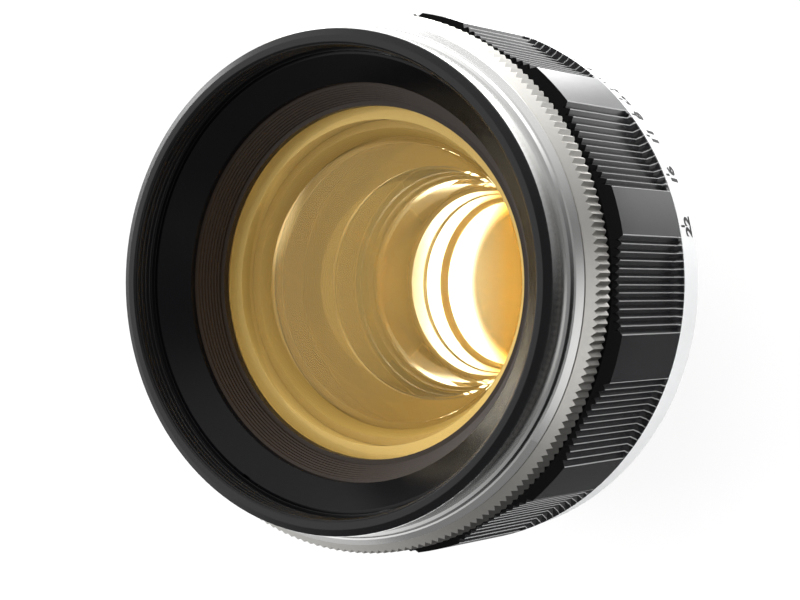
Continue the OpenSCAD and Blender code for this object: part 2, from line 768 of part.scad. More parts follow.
module aperture_ring() color("silver") difference() {
    intersection() {
        knurl(aperture_z, cone_z + cone_h);
        turned([[0, aperture_z], [knurl_r - 0.15, aperture_z], [knurl_r + 0.1, aperture_z + 0.25],
            [knurl_r + 0.1, cone_z], [cone_r, cone_z + cone_h], [0, cone_z + cone_h]]);
    }
    translate([0, 0, aperture_z - past])
        cylinder(h = knurl_h + cone_h + 2 * past, r = journal_front_r + run_gap);
    translate([0, 0, web_z - free_gap])
        cylinder(h = knurl_h + cone_h + past, r = collar_skirt_r + free_gap);
    // the hollow for the click ball at each stop
    round_axis([for (i = [0 : click_steps]) click_angle_on_barrel + click_angle * i])
        post(journal_front_r + 0.35, 0.5, aperture_z - past, click_z + 0.6);
    rotate([0, 0, drive_angle]) drive_screw(drive_r + seat_gap, journal_front_r, knurl_r);
}

// The screw, or the hole that it passes through, from one radius to another
module drive_screw(r, r_from, r_to) {
    translate([r_from, 0, drive_z]) rotate([0, 90, 0])
        cylinder(h = r_to - r_from, r = r, $fn = screw_faces);
}

module aperture_drive_screw() color("silver") rotate([0, 0, drive_angle])
    drive_screw(drive_r, sleeve_r - sleeve_wall, knurl_r - 2 * knurl_depth);

module iris_drive_sleeve() color("dimgray") difference() {
    tube(sleeve_r - sleeve_wall, sleeve_r, actuator_z + actuator_t, drive_z + drive_r + 0.2);
    rotate([0, 0, drive_angle])
        drive_screw(drive_r + seat_gap, sleeve_r - 2 * sleeve_wall, sleeve_r + past);
}

module iris_actuator() color("dimgray") difference() {
    tube(actuator_bore, sleeve_r, actuator_z, actuator_z + actuator_t);
    round_axis([for (i = [0 : blades - 1]) blade_angle(i)]) mirror([0, 1, 0])
        translate([0, 0, actuator_z - past]) cam_slot(actuator_t + 2 * past);
}

// A curved slot: the path of one drive pin over the whole closing, with round ends
module cam_slot(height) {
    linear_extrude(height) polygon(concat(
        [for (i = [0 : slot_steps]) pin_side(i / slot_steps, 1)],
        [for (i = [slot_steps : -1 : 0]) pin_side(i / slot_steps, -1)]));
    for (t = [0, 1]) translate(pin_at(t)) cylinder(h = height, r = slot_w / 2, $fn = screw_faces);
}

// Each blade lies one step above the last, so that they close over each other
module iris_blade(i) {
    level = blade_z + blade_step * i;
    arm_end = [pivot_r + arm_l * sin(arm_lead), -arm_l * cos(arm_lead)];
    color([0.2, 0.2, 0.22]) rotate([0, 0, blade_angle(i)]) mirror([0, 1, 0]) union() {
        intersection() {
            tube(blade_inner_r, blade_outer_r, level, level + blade_t);
            translate([0, 0, level - past]) linear_extrude(blade_t + 2 * past)
                polygon([[0, 0], polar(2 * pivot_r, 0), polar(2 * pivot_r, blade_span / 2),
                    polar(2 * pivot_r, blade_span)]);
        }
        post(pivot_r, ear_r, level, level + blade_t);
        translate([pivot_r, 0, level]) rotate([0, 0, arm_lead - 90])
            translate([0, -arm_w / 2, 0]) cube([arm_l, arm_w, blade_t]);
        translate([arm_end[0], arm_end[1], level])
            cylinder(h = blade_t, r = arm_w / 2, $fn = screw_faces);
        post(pivot_r, pin_r, housing_z + 0.1, level + blade_t);
        translate([arm_end[0], arm_end[1], level])
            cylinder(h = actuator_z + actuator_t - 0.1 - level, r = pin_r, $fn = screw_faces);
    }
}

mount_ring();
mount_base();
mount_screws();
depth_scale_ring();
bearing_retainer();
guide_keys();
focus_stop_pin();
focus_ring();
outer_helicoid();
focus_ring_screws();
head_barrel();
inner_helicoid();
rangefinder_cam();
cam_screws();
front_collar();
front_rim();
collar_screws();
name_ring();
front_baffle();
front_cell();
front_retainer();
element_1();
element_2_retainer();
element_2();
element_3();
iris_housing();
rear_cell();
element_4();
element_5();
rear_spacer_1();
element_6();
rear_spacer_2();
element_7();
rear_retainer();
click_ball();
click_spring();
aperture_ring();
aperture_drive_screw();
iris_drive_sleeve();
iris_actuator();
iris_blade(0);  // iris_blade_01
iris_blade(1);  // iris_blade_02
iris_blade(2);  // iris_blade_03
iris_blade(3);  // iris_blade_04
iris_blade(4);  // iris_blade_05
iris_blade(5);  // iris_blade_06
iris_blade(6);  // iris_blade_07
iris_blade(7);  // iris_blade_08
iris_blade(8);  // iris_blade_09
iris_blade(9);  // iris_blade_10
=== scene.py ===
# %% [markdown]
# A fast 50 mm lens, dressed for its portrait
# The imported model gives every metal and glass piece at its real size. This lesson adds what a
# drawing can't hold: plating, paint, coated glass, engraved scales and the studio round it.
# Everything is in metres, and the lens axis is Z with the front up.

# %% Load the frame
import math
import bpy
import bmesh
from mathutils import Matrix, Vector
from mathutils.bvhtree import BVHTree


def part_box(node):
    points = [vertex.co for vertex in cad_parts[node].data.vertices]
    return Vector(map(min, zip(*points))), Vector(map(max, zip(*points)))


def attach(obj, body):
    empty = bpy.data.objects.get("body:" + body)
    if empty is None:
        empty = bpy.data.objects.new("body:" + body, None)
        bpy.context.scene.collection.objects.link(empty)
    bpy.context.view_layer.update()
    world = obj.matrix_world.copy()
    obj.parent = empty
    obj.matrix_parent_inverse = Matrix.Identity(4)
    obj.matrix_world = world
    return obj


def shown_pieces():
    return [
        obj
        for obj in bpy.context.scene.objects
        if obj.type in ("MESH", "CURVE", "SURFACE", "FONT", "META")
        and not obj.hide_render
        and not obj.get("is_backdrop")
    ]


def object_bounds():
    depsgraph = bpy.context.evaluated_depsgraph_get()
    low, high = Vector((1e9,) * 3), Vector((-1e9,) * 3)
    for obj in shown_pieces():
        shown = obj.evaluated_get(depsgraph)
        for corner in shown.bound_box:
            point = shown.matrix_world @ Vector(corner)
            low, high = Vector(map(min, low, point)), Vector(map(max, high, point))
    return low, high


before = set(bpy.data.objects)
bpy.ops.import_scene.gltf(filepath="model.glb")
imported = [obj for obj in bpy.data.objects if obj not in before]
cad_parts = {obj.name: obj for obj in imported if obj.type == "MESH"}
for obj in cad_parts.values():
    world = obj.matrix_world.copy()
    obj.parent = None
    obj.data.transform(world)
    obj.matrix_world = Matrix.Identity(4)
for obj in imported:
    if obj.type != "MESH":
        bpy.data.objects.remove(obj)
CAD_BOX = [list(corner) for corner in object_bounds()]
MM = 0.001

# %% [markdown]
# ## The picture and the camera
# These points are the only pixel coordinates in the lesson. They were read off the photograph:
# the object's extent, and features that fix the view. The camera stands to one side of the lens
# axis, and a little of its aim is off the rim's centre.

# %% Points in the photograph, 800 by 600
POINTS = {
    "left": 122, "right": 700.5, "top": 15, "bottom": 555,
    "rim_left": (122, 283), "rim_right": (550, 283),
    "rim_top": (336, 27.5), "rim_bottom": (336, 538),
    "land_front_low": (624, 238), "land_front_high": (614, 186),
    "mark_22": (683.5, 229), "mark_16": (669, 172.3), "mark_11": (649, 136.5),
    "notch_high": (436, 79), "notch_low": (252, 477),
}
W, H = 800, 600
LONG_SIDE = max(W, H)

# %% The camera
FRONT_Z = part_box("front_rim")[1].z
VIEW_ROLL = math.radians(35.5)      # the side of the lens that lies to the right in the picture
VIEW_SWING = math.radians(31.375)   # how far the camera stands to that side of the axis
VIEW_TILT = math.radians(-0.289)
RIM_CENTRE_FROM_CAMERA = Vector((-8.70, 1.99, -241.95)) * MM
LENS_MM = 96.0
SENSOR_MM = 36.0

turn = (Matrix.Rotation(VIEW_ROLL, 3, "Z") @ Matrix.Rotation(VIEW_SWING, 3, "Y")
        @ Matrix.Rotation(VIEW_TILT, 3, "X"))
camera_data = bpy.data.cameras.new("camera")
camera_data.sensor_fit = "AUTO"
camera_data.sensor_width = SENSOR_MM
camera_data.lens = LENS_MM
camera_data.clip_start = 0.01
camera_data.clip_end = 20
camera = bpy.data.objects.new("camera", camera_data)
bpy.context.scene.collection.objects.link(camera)
camera.matrix_world = (
    Matrix.Translation(Vector((0, 0, FRONT_Z)) - turn @ RIM_CENTRE_FROM_CAMERA)
    @ turn.to_4x4())
bpy.context.scene.camera = camera
bpy.context.view_layer.update()

# %% [markdown]
# ## Studio
# The lens stands on its rear on a white sheet. White metal only looks like metal if something
# dark shows in it, so the sheet shows a different light to each kind of ray: plain white to the
# camera, painted patches of light and a patch of painted shade to plating, and a bright ring
# round a dim, tinted patch to glass. Soft lamps stand round the lens, and the world fills in from
# everywhere.

# %% Node helpers
def new_material(name):
    material = bpy.data.materials.new(name)
    material.use_nodes = True
    material.node_tree.nodes.clear()
    return material, material.node_tree


def add(tree, kind, **values):
    """A node with its properties and unlinked inputs set. Input names use underscores."""
    node = tree.nodes.new(kind)
    for key, value in values.items():
        if hasattr(node, key) and key not in ("color",):
            setattr(node, key, value)
        else:
            node.inputs[key.replace("_", " ")].default_value = value
    return node


def link(tree, source, target):
    tree.links.new(source, target)


def remap(tree, value, low, high, to_low=0.0, to_high=1.0, smooth=False):
    """Sends low..high to to_low..to_high, and holds the ends."""
    node = add(tree, "ShaderNodeMapRange")
    if smooth:
        node.interpolation_type = "SMOOTHSTEP"
    for socket, number in (("From Min", low), ("From Max", high),
                           ("To Min", to_low), ("To Max", to_high)):
        node.inputs[socket].default_value = number
    link(tree, value, node.inputs["Value"])
    return node.outputs[0]


def maths(tree, operation, first, second, use_clamp=False):
    """A two-input math node. Each input is a number or another node's output."""
    node = add(tree, "ShaderNodeMath", operation=operation, use_clamp=use_clamp)
    for socket, given in zip(node.inputs, (first, second)):
        if isinstance(given, (int, float)):
            socket.default_value = given
        else:
            link(tree, given, socket)
    return node.outputs[0]


def mixed(tree, share, first, second):
    """The first shader where share is 0 and the second where it is 1."""
    node = add(tree, "ShaderNodeMixShader")
    for socket, output in zip(node.inputs, (share, first, second)):
        link(tree, output, socket)
    return node.outputs[0]


# %% Directions in the studio
def towards(picture_angle, tilt):
    """A unit vector. picture_angle turns round the lens axis from the picture's right, and tilt
    is how far the vector leans away from straight in front of the lens."""
    angle = VIEW_ROLL + math.radians(picture_angle)
    lean = math.radians(tilt)
    return Vector((math.sin(lean) * math.cos(angle), math.sin(lean) * math.sin(angle),
                   math.cos(lean)))


def lobe(tree, vector, direction, low, high, strength):
    """A soft patch of light: none where the vector is further than low from the direction,
    all of it where it is nearer than high. Both are cosines."""
    facing = add(tree, "ShaderNodeVectorMath", operation="DOT_PRODUCT")
    facing.inputs[1].default_value = direction
    link(tree, vector, facing.inputs[0])
    return remap(tree, facing.outputs["Value"], low, high, 0.0, strength, smooth=True)


def total(tree, base, parts):
    """base plus every part."""
    running = base
    for part in parts:
        running = maths(tree, "ADD", running, part)
    return running


# %% The white sheet
SHEET_WHITE = 0.86
PLATING_BASE = 0.12           # what plating sees where no patch of light lies
PLATING_LOBES = ((80, 0.0, 0.8, 1.5), (95, 0.75, 0.98, 3.5), (200, 0.2, 0.9, 0.5))
DARK_REFLECTION_STARTS = 46 * MM         # painted shade in what plating reflects, from this far off the axis
DARK_REFLECTION_FULL = 52 * MM
DARK_REFLECTION_LOBE = (-15, 0.3, 0.8, 0.85)
SEEN_MIDDLE = 3.5 * MM        # the dim patch that the camera sees through the glass
SEEN_INNER = 10.5 * MM
SEEN_OUTER = 13.5 * MM
SEEN_LEVEL = 1.0
ROUND_IT_LEVEL = 18.0         # the sheet round the patch lights the rear cell's walls
SEEN_FROM = -10 * MM          # the patch's tints, from picture left to picture right
SEEN_TO = -2 * MM
SEEN_TINTS = ((0.0, (1.0, 1.0, 1.0)), (0.3, (0.75, 0.82, 0.92)), (0.55, (0.55, 0.56, 0.55)),
              (1.0, (0.70, 0.42, 0.12)))


def sheet_material():
    material, tree = new_material("white_sheet")
    path = add(tree, "ShaderNodeLightPath")
    paper = add(tree, "ShaderNodeBsdfDiffuse")
    paper.inputs["Color"].default_value = (SHEET_WHITE, SHEET_WHITE, SHEET_WHITE, 1)
    white = add(tree, "ShaderNodeEmission")
    clear = add(tree, "ShaderNodeBsdfTransparent")
    # what plating and paint see: painted light from the picture's top, and painted shade at its
    # right
    place = add(tree, "ShaderNodeTexCoord")
    flat = add(tree, "ShaderNodeVectorMath", operation="MULTIPLY")
    flat.inputs[1].default_value = (1, 1, 0)
    link(tree, place.outputs["Object"], flat.inputs[0])
    bearing = add(tree, "ShaderNodeVectorMath", operation="NORMALIZE")
    link(tree, flat.outputs[0], bearing.inputs[0])
    reach = add(tree, "ShaderNodeVectorMath", operation="LENGTH")
    link(tree, flat.outputs[0], reach.inputs[0])

    def patch(picture_angle, low, high, strength):
        return lobe(tree, bearing.outputs[0], towards(picture_angle, 90), low, high, strength)

    glow = total(tree, PLATING_BASE, [patch(*each) for each in PLATING_LOBES])
    # painted shade: off the axis at the picture's right, plating sees the sheet dark
    dark_reflection = remap(tree, reach.outputs["Value"], DARK_REFLECTION_STARTS, DARK_REFLECTION_FULL, smooth=True)
    shade = maths(tree, "MULTIPLY", dark_reflection, patch(*DARK_REFLECTION_LOBE))
    to_metal = maths(tree, "MULTIPLY", glow, maths(tree, "SUBTRACT", 1.0, shade))
    # what the glass sees: dim, tinted paper straight behind it and bright paper round that
    from_patch = add(tree, "ShaderNodeVectorMath", operation="DISTANCE")
    from_patch.inputs[1].default_value = towards(0, 90) * SEEN_MIDDLE
    link(tree, flat.outputs[0], from_patch.inputs[0])
    behind = remap(tree, from_patch.outputs["Value"], SEEN_INNER, SEEN_OUTER,
                   SEEN_LEVEL, ROUND_IT_LEVEL, smooth=True)
    across = add(tree, "ShaderNodeVectorMath", operation="DOT_PRODUCT")
    across.inputs[1].default_value = towards(0, 90)
    link(tree, flat.outputs[0], across.inputs[0])
    along = remap(tree, across.outputs["Value"], SEEN_FROM, SEEN_TO)
    tint = add(tree, "ShaderNodeValToRGB")
    ramp = tint.color_ramp
    ramp.elements.remove(ramp.elements[0])
    ramp.elements[0].position = SEEN_TINTS[-1][0]
    ramp.elements[0].color = (*SEEN_TINTS[-1][1], 1)
    for position, colour in SEEN_TINTS[:-1]:
        ramp.elements.new(position).color = (*colour, 1)
    link(tree, along, tint.inputs[0])
    tinted = add(tree, "ShaderNodeMix", data_type="RGBA")
    tinted.inputs["A"].default_value = (1, 1, 1, 1)
    link(tree, path.outputs["Is Transmission Ray"], tinted.inputs["Factor"])
    link(tree, tint.outputs["Color"], tinted.inputs["B"])
    link(tree, tinted.outputs["Result"], white.inputs["Color"])
    # a ray that glass has bent also counts as glossy, so the plating's light is kept from it
    to_camera, glossy, bent = (path.outputs[kind] for kind in (
        "Is Camera Ray", "Is Glossy Ray", "Is Transmission Ray"))
    only_glossy = maths(tree, "SUBTRACT", glossy, bent, use_clamp=True)
    brightness = total(tree, 0.0, [maths(tree, "MULTIPLY", only_glossy, to_metal),
                                   maths(tree, "MULTIPLY", bent, behind), to_camera])
    link(tree, brightness, white.inputs["Strength"])
    covered = total(tree, 0.0, [maths(tree, "MULTIPLY", to_camera, SHEET_WHITE), glossy, bent])
    lit = mixed(tree, covered, paper.outputs[0], white.outputs[0])
    side_node = add(tree, "ShaderNodeNewGeometry")
    both = mixed(tree, side_node.outputs["Backfacing"], lit, clear.outputs[0])
    out = add(tree, "ShaderNodeOutputMaterial")
    link(tree, both, out.inputs["Surface"])
    return material


FLOOR_Z = CAD_BOX[0][2] - 0.02 * MM
FLOOR_HALF = 3.0
floor_mesh = bpy.data.meshes.new("floor")
floor_mesh.from_pydata([(FLOOR_HALF * x, FLOOR_HALF * y, FLOOR_Z)
                        for x, y in ((-1, -1), (1, -1), (1, 1), (-1, 1))], [], [(0, 1, 2, 3)])
floor = bpy.data.objects.new("floor", floor_mesh)
bpy.context.scene.collection.objects.link(floor)
floor_mesh.materials.append(sheet_material())
floor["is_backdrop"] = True


# %% Lamps and world
LAMP_AIM = Vector((0, 0, 20 * MM))


def softbox(name, picture_angle, tilt, distance, size, power):
    """A rectangular lamp aimed at the lens, kept out of every reflection."""
    data = bpy.data.lights.new(name, "AREA")
    data.shape = "RECTANGLE"
    data.size, data.size_y = size
    data.energy = power
    lamp = bpy.data.objects.new(name, data)
    bpy.context.scene.collection.objects.link(lamp)
    away = towards(picture_angle, tilt)
    lamp.location = LAMP_AIM + away * distance
    lamp.rotation_euler = away.to_track_quat("Z", "Y").to_euler()
    lamp.visible_glossy = False
    lamp.visible_transmission = False
    return lamp


softbox("key_from_above", 95, 65, 0.55, (0.5, 0.35), 4.0)
softbox("left_window", 185, 55, 0.6, (0.35, 0.5), 3.0)
softbox("right_fill", -10, 70, 0.7, (0.4, 0.4), 2.5)
softbox("low_right", -35, 76, 0.5, (0.3, 0.3), 1.5)

world = bpy.data.worlds.new("studio")
bpy.context.scene.world = world
world.use_nodes = True
sky = world.node_tree
sky.nodes.clear()
sky_path = add(sky, "ShaderNodeLightPath")
sky_place = add(sky, "ShaderNodeTexCoord")
sky_way = sky_place.outputs["Generated"]
SKY_BASE = 0.22
SKY_LOBES = ((90, 75, 0.4, 0.95, 0.7), (175, 55, 0.5, 0.98, 1.3), (-20, 88, 0.75, 0.97, 0.8),
             (162, 80, 0.94, 0.99, 8.0))
sky_glow = total(sky, SKY_BASE, [
    lobe(sky, sky_way, towards(picture_angle, tilt), low, high, strength)
    for picture_angle, tilt, low, high, strength in SKY_LOBES])
sky_fill = add(sky, "ShaderNodeBackground")
sky_fill.inputs["Color"].default_value = (1, 1, 1, 1)
link(sky, sky_glow, sky_fill.inputs["Strength"])
sky_white = add(sky, "ShaderNodeBackground")
sky_white.inputs["Color"].default_value = (1, 1, 1, 1)
sky_mix = mixed(sky, sky_path.outputs["Is Camera Ray"], sky_fill.outputs[0],
                sky_white.outputs[0])
sky_out = add(sky, "ShaderNodeOutputWorld")
link(sky, sky_mix, sky_out.inputs["Surface"])

view = bpy.context.scene.view_settings
view.view_transform = "Standard"
bpy.context.scene.cycles.max_bounces = 32
bpy.context.scene.cycles.transmission_bounces = 32
bpy.context.scene.cycles.glossy_bounces = 8
print("studio ready")


# %% [markdown]
# ## Finishes
# Turned metal carries fine rings left by the tool. A noise stretched round the axis roughens each
# finish in the same way, so one helper gives all of them their grain and speckle. The same helper
# paints light and shade where it is asked: highlights on the focus ring's rib crests, flat black
# shade on its front bevel, and painted light on the front of the amber walls.

# %% Painted highlights on the crests of the focus ring's ribs
LAND_PITCH = 30               # degrees from land to land, the first at 20
FIRST_LAND = 20
SCALLOP_HALF = 10             # degrees from a scallop's middle to its edge
RIBS = 12                     # ribs in a scallop
CREST_SHARE = 0.07            # of a rib's width, painted as a highlight on each side of its crest


def chain(tree, value, *steps):
    """Sends a value through math nodes, each given as its operation and its other inputs."""
    for operation, *others in steps:
        node = add(tree, "ShaderNodeMath", operation=operation)
        link(tree, value, node.inputs[0])
        for index, other in enumerate(others):
            node.inputs[index + 1].default_value = other
        value = node.outputs[0]
    return value


def rib_crests(tree, split):
    """1 on a crest and 0 away from it, from the bearing round the lens axis."""
    bearing = maths(tree, "ARCTAN2", split.outputs["Y"], split.outputs["X"])
    in_scallop = chain(tree, bearing, ("DEGREES",), ("ADD", 360 - FIRST_LAND),
                       ("MODULO", LAND_PITCH), ("SUBTRACT", LAND_PITCH / 2))
    ribs_along = chain(tree, in_scallop, ("MULTIPLY", RIBS / (2 * SCALLOP_HALF)),
                       ("ADD", RIBS + 0.5), ("FRACT",), ("SUBTRACT", 0.5), ("ABSOLUTE",),
                       ("LESS_THAN", CREST_SHARE))
    inside = chain(tree, in_scallop, ("ABSOLUTE",), ("LESS_THAN", SCALLOP_HALF + 0.1))
    return maths(tree, "MULTIPLY", ribs_along, inside)


# %% One helper for every metal and paint finish
TOOL_NOISE = (9000.0, 3.0, 0.6)     # scale, detail and roughness
DUST_NOISE = (2500.0, 4.0, 0.7)
CLOUD_NOISE = (90.0, 3.0, 0.5)
RELIEF_DEPTH = 0.02 * MM
# painted shade: the flat black of the focus ring's front bevel, in the shadowed gap behind the
# knurl
GAP_SHADE_BLACK = (0.004, 0.004, 0.004, 1)


def turned_finish(name, colour, metallic, roughness, grain=0.02, bump=0.05, speck=0.0,
                  specular=0.5, edge=0.0, shade_above=None, lit_above=None, crest_highlight=None):
    """edge rounds the look of every corner by that radius. shade_above is the height above
    which the finish turns flat black, a painted shade for the shadowed gap behind the knurl.
    paler gives two heights and the colour above them, a painted light on the front of a wall.
    worn is the colour of a painted highlight on the rib crests of the focus ring."""
    material, tree = new_material(name)
    place = add(tree, "ShaderNodeTexCoord")
    split = add(tree, "ShaderNodeSeparateXYZ")
    link(tree, place.outputs["Object"], split.inputs[0])
    x, y, z = split.outputs
    radius_2 = maths(tree, "ADD", maths(tree, "MULTIPLY", x, x), maths(tree, "MULTIPLY", y, y))
    rings = add(tree, "ShaderNodeCombineXYZ")
    link(tree, chain(tree, radius_2, ("SQRT",)), rings.inputs["X"])
    link(tree, z, rings.inputs["Z"])

    def noise(vector, scale, detail, roughness):
        node = add(tree, "ShaderNodeTexNoise", Scale=scale, Detail=detail, Roughness=roughness)
        link(tree, vector, node.inputs["Vector"])
        return node.outputs["Fac"]

    tool = noise(rings.outputs[0], *TOOL_NOISE)
    dust = noise(place.outputs["Object"], *DUST_NOISE)
    cloud = noise(place.outputs["Object"], *CLOUD_NOISE)
    blend = maths(tree, "ADD", maths(tree, "MULTIPLY", dust, 0.5),
                  maths(tree, "MULTIPLY", cloud, 0.5))
    rough = remap(tree, blend, 0.3, 0.7, max(roughness - grain, 0.02), roughness + 1.6 * grain)
    tone = remap(tree, dust, 0.35, 0.72, 1.0, 1.0 - speck)
    tint = add(tree, "ShaderNodeMix", data_type="RGBA", blend_type="MULTIPLY")
    tint.inputs[0].default_value = 1.0
    tint.inputs[6].default_value = (*colour, 1)
    # painted light: above the given heights the colour turns paler, as light falling on the front
    # of a wall would make it
    if lit_above:
        climb = remap(tree, z, lit_above[0], lit_above[1], smooth=True)
        lit_blend = add(tree, "ShaderNodeMix", data_type="RGBA")
        lit_blend.inputs["A"].default_value = (*colour, 1)
        lit_blend.inputs["B"].default_value = (*lit_above[2], 1)
        link(tree, climb, lit_blend.inputs["Factor"])
        link(tree, lit_blend.outputs["Result"], tint.inputs[6])
    link(tree, tone, tint.inputs[7])
    base_colour = tint.outputs[2]
    # painted highlight: the rib crests of the focus ring take a lighter colour
    if crest_highlight:
        highlighted = add(tree, "ShaderNodeMix", data_type="RGBA")
        link(tree, rib_crests(tree, split), highlighted.inputs["Factor"])
        link(tree, base_colour, highlighted.inputs["A"])
        highlighted.inputs["B"].default_value = (*crest_highlight, 1)
        base_colour = highlighted.outputs["Result"]
    relief = add(tree, "ShaderNodeBump")
    relief.inputs["Strength"].default_value = bump
    relief.inputs["Distance"].default_value = RELIEF_DEPTH
    link(tree, tool, relief.inputs["Height"])
    shader = add(tree, "ShaderNodeBsdfPrincipled")
    shader.inputs["Metallic"].default_value = metallic
    shader.inputs["Specular IOR Level"].default_value = specular
    link(tree, base_colour, shader.inputs["Base Color"])
    link(tree, rough, shader.inputs["Roughness"])
    link(tree, relief.outputs[0], shader.inputs["Normal"])
    if edge:
        corner = add(tree, "ShaderNodeBevel", samples=4)
        corner.inputs["Radius"].default_value = edge
        link(tree, corner.outputs[0], relief.inputs["Normal"])
    surface = shader.outputs[0]
    # painted shade: above this height the finish turns flat black
    if shade_above is not None:
        gap_shade = add(tree, "ShaderNodeBsdfDiffuse")
        gap_shade.inputs["Color"].default_value = GAP_SHADE_BLACK
        surface = mixed(tree, maths(tree, "GREATER_THAN", z, shade_above), surface,
                        gap_shade.outputs[0])
    out = add(tree, "ShaderNodeOutputMaterial")
    link(tree, surface, out.inputs["Surface"])
    return material


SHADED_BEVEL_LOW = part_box("focus_ring")[1].z - 1.22 * MM   # the focus ring's front bevel, painted flat black as shade in the gap behind the knurl
POLISHED_CHROME = turned_finish("polished_chrome", (0.80, 0.80, 0.79), 1.0, 0.15, 0.03, 0.10)
SATIN_CHROME = turned_finish("satin_chrome", (0.74, 0.725, 0.685), 1.0, 0.36, 0.05, 0.25, 0.03,
                             edge=0.06 * MM)
SCALE_CHROME = turned_finish("scale_chrome", (0.70, 0.705, 0.71), 0.35, 0.45, 0.04, 0.2, 0.02)
# the focus ring's paint carries painted light: highlights on its rib crests and flat black shade on
# its front bevel
BLACK_PAINT = turned_finish("black_paint", (0.012, 0.012, 0.013), 0.0, 0.20, 0.04, 0.10, 0.2,
                            edge=0.07 * MM, shade_above=SHADED_BEVEL_LOW, crest_highlight=(0.22, 0.22, 0.22))
BLACK_RIM = turned_finish("black_rim", (0.004, 0.004, 0.0045), 0.0, 0.22, 0.04, 0.15, 0.2, 0.3,
                          edge=0.12 * MM)
BLACK_GLOSS = turned_finish("black_name_ring", (0.002, 0.002, 0.0025), 0.0, 0.2, 0.03, 0.1, 0.2,
                            0.2, edge=0.15 * MM)
BLACK_MATT = turned_finish("black_matt", (0.012, 0.012, 0.012), 0.0, 0.6, 0.05, 0.3, 0.1, 0.3)
BAFFLE_BROWN = turned_finish("baffle_brown", (0.020, 0.012, 0.007), 0.0, 0.38, 0.05, 0.2, 0.2,
                             0.3)
BRASS = turned_finish("brass", (0.62, 0.45, 0.2), 1.0, 0.35, 0.05, 0.3, 0.05)
STEEL = turned_finish("steel", (0.6, 0.6, 0.6), 1.0, 0.3, 0.05, 0.3, 0.05)
BLUED_STEEL = turned_finish("blued_steel", (0.10, 0.10, 0.12), 1.0, 0.35, 0.05, 0.2, 0.05)
INK_BLACK = turned_finish("ink_black", (0.01, 0.01, 0.01), 0.0, 0.5, 0.03, 0.05)


# %% [markdown]
# ## Coated glass
# Each element is clear glass under a thin amber film that tints what it reflects. Most of the
# gold is painted light: the walls behind the glass are coloured amber in place of the light that
# the coatings reflect inside the lens, paler towards the front where light falls on them. The
# bright crescent comes from the plated walls of the rear spacers. The index of 1.15 is lower than
# real glass has. It was chosen.

# %% The coated glass
def coated_glass(name, ior, body, coating, strength):
    """strength is the film's share seen square on. Light from the lamps passes straight through."""
    material, tree = new_material(name)
    glass = add(tree, "ShaderNodeBsdfGlass")
    glass.inputs["Color"].default_value = (*body, 1)
    glass.inputs["Roughness"].default_value = 0.0
    glass.inputs["IOR"].default_value = ior
    film = add(tree, "ShaderNodeBsdfGlossy")
    film.inputs["Color"].default_value = (*coating, 1)
    film.inputs["Roughness"].default_value = 0.03
    facing = add(tree, "ShaderNodeLayerWeight")
    facing.inputs["Blend"].default_value = 0.35
    share = remap(tree, facing.outputs["Facing"], 0.0, 1.0, strength, min(strength * 3, 0.9))
    coated = mixed(tree, share, glass.outputs[0], film.outputs[0])
    path = add(tree, "ShaderNodeLightPath")
    let_light_in = add(tree, "ShaderNodeBsdfTransparent")
    let_light_in.inputs["Color"].default_value = (*body, 1)
    whole = mixed(tree, path.outputs["Is Shadow Ray"], coated, let_light_in.outputs[0])
    out = add(tree, "ShaderNodeOutputMaterial")
    link(tree, whole, out.inputs["Surface"])
    return material


GLASS_INDEX = 1.15
FRONT_GLASS = coated_glass("front_glass", GLASS_INDEX, (1.0, 0.985, 0.94), (1.0, 0.74, 0.30), 0.04)
INNER_GLASS = coated_glass("inner_glass", GLASS_INDEX, (1.0, 0.988, 0.95), (1.0, 0.66, 0.16), 0.04)
# painted light: these walls are coloured amber in place of the light that the coatings reflect
# inside the lens, and paler towards the front where light falls on them
PAINTED_GLOW_WALL = turned_finish("painted_glow_wall", (0.30, 0.175, 0.02), 0.0, 0.40, 0.05, 0.1,
                           lit_above=(19 * MM, 30 * MM, (0.85, 0.64, 0.24)))
BRIGHT_WALL = turned_finish("bright_wall", (0.95, 0.95, 0.94), 1.0, 0.30, 0.02, 0.1)

# %% Give each CAD node its finish
FINISHES = {
    "polished_chrome": (POLISHED_CHROME, ["front_collar", "mount_ring", "rangefinder_cam"]),
    "satin": (SATIN_CHROME, ["aperture_ring", "mount_base"]),
    "scale": (SCALE_CHROME, ["depth_scale_ring"]),
    "paint": (BLACK_PAINT, ["focus_ring"]),
    "rim": (BLACK_RIM, ["front_rim"]),
    "name": (BLACK_GLOSS, ["name_ring"]),
    "brown": (BAFFLE_BROWN, ["front_baffle", "front_retainer"]),
    "matt": (BLACK_MATT, ["head_barrel", "bearing_retainer", "iris_drive_sleeve",
                          "iris_actuator"]),
    "amber": (PAINTED_GLOW_WALL, ["front_cell", "element_2_retainer", "iris_housing", "rear_cell"]),
    "bright": (BRIGHT_WALL, ["rear_spacer_1", "rear_spacer_2", "rear_retainer"]),
    "brass": (BRASS, ["guide_keys", "outer_helicoid", "inner_helicoid"]),
    "steel": (STEEL, ["mount_screws", "focus_ring_screws", "cam_screws", "collar_screws",
                      "focus_stop_pin", "click_ball", "click_spring", "aperture_drive_screw"]),
    "blued": (BLUED_STEEL, [f"iris_blade_{i:02d}" for i in range(1, 11)]),
    "front_glass": (FRONT_GLASS, ["element_1"]),
    "inner_glass": (INNER_GLASS, [f"element_{i}" for i in range(2, 8)]),
}
for material, names in FINISHES.values():
    for name in names:
        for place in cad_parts[name].material_slots:
            place.material = material
print("finished", sum(len(names) for _, names in FINISHES.values()), "nodes")


# %% [markdown]
# ## Engraved scales
# The depth scale is symmetric about the focus index: the line for each f-number stands off it by
# an angle in proportion to that number. Three of its lines show in the photograph, so a ray
# through each of those pixels finds its place on the ring, and the rule carries on from there.

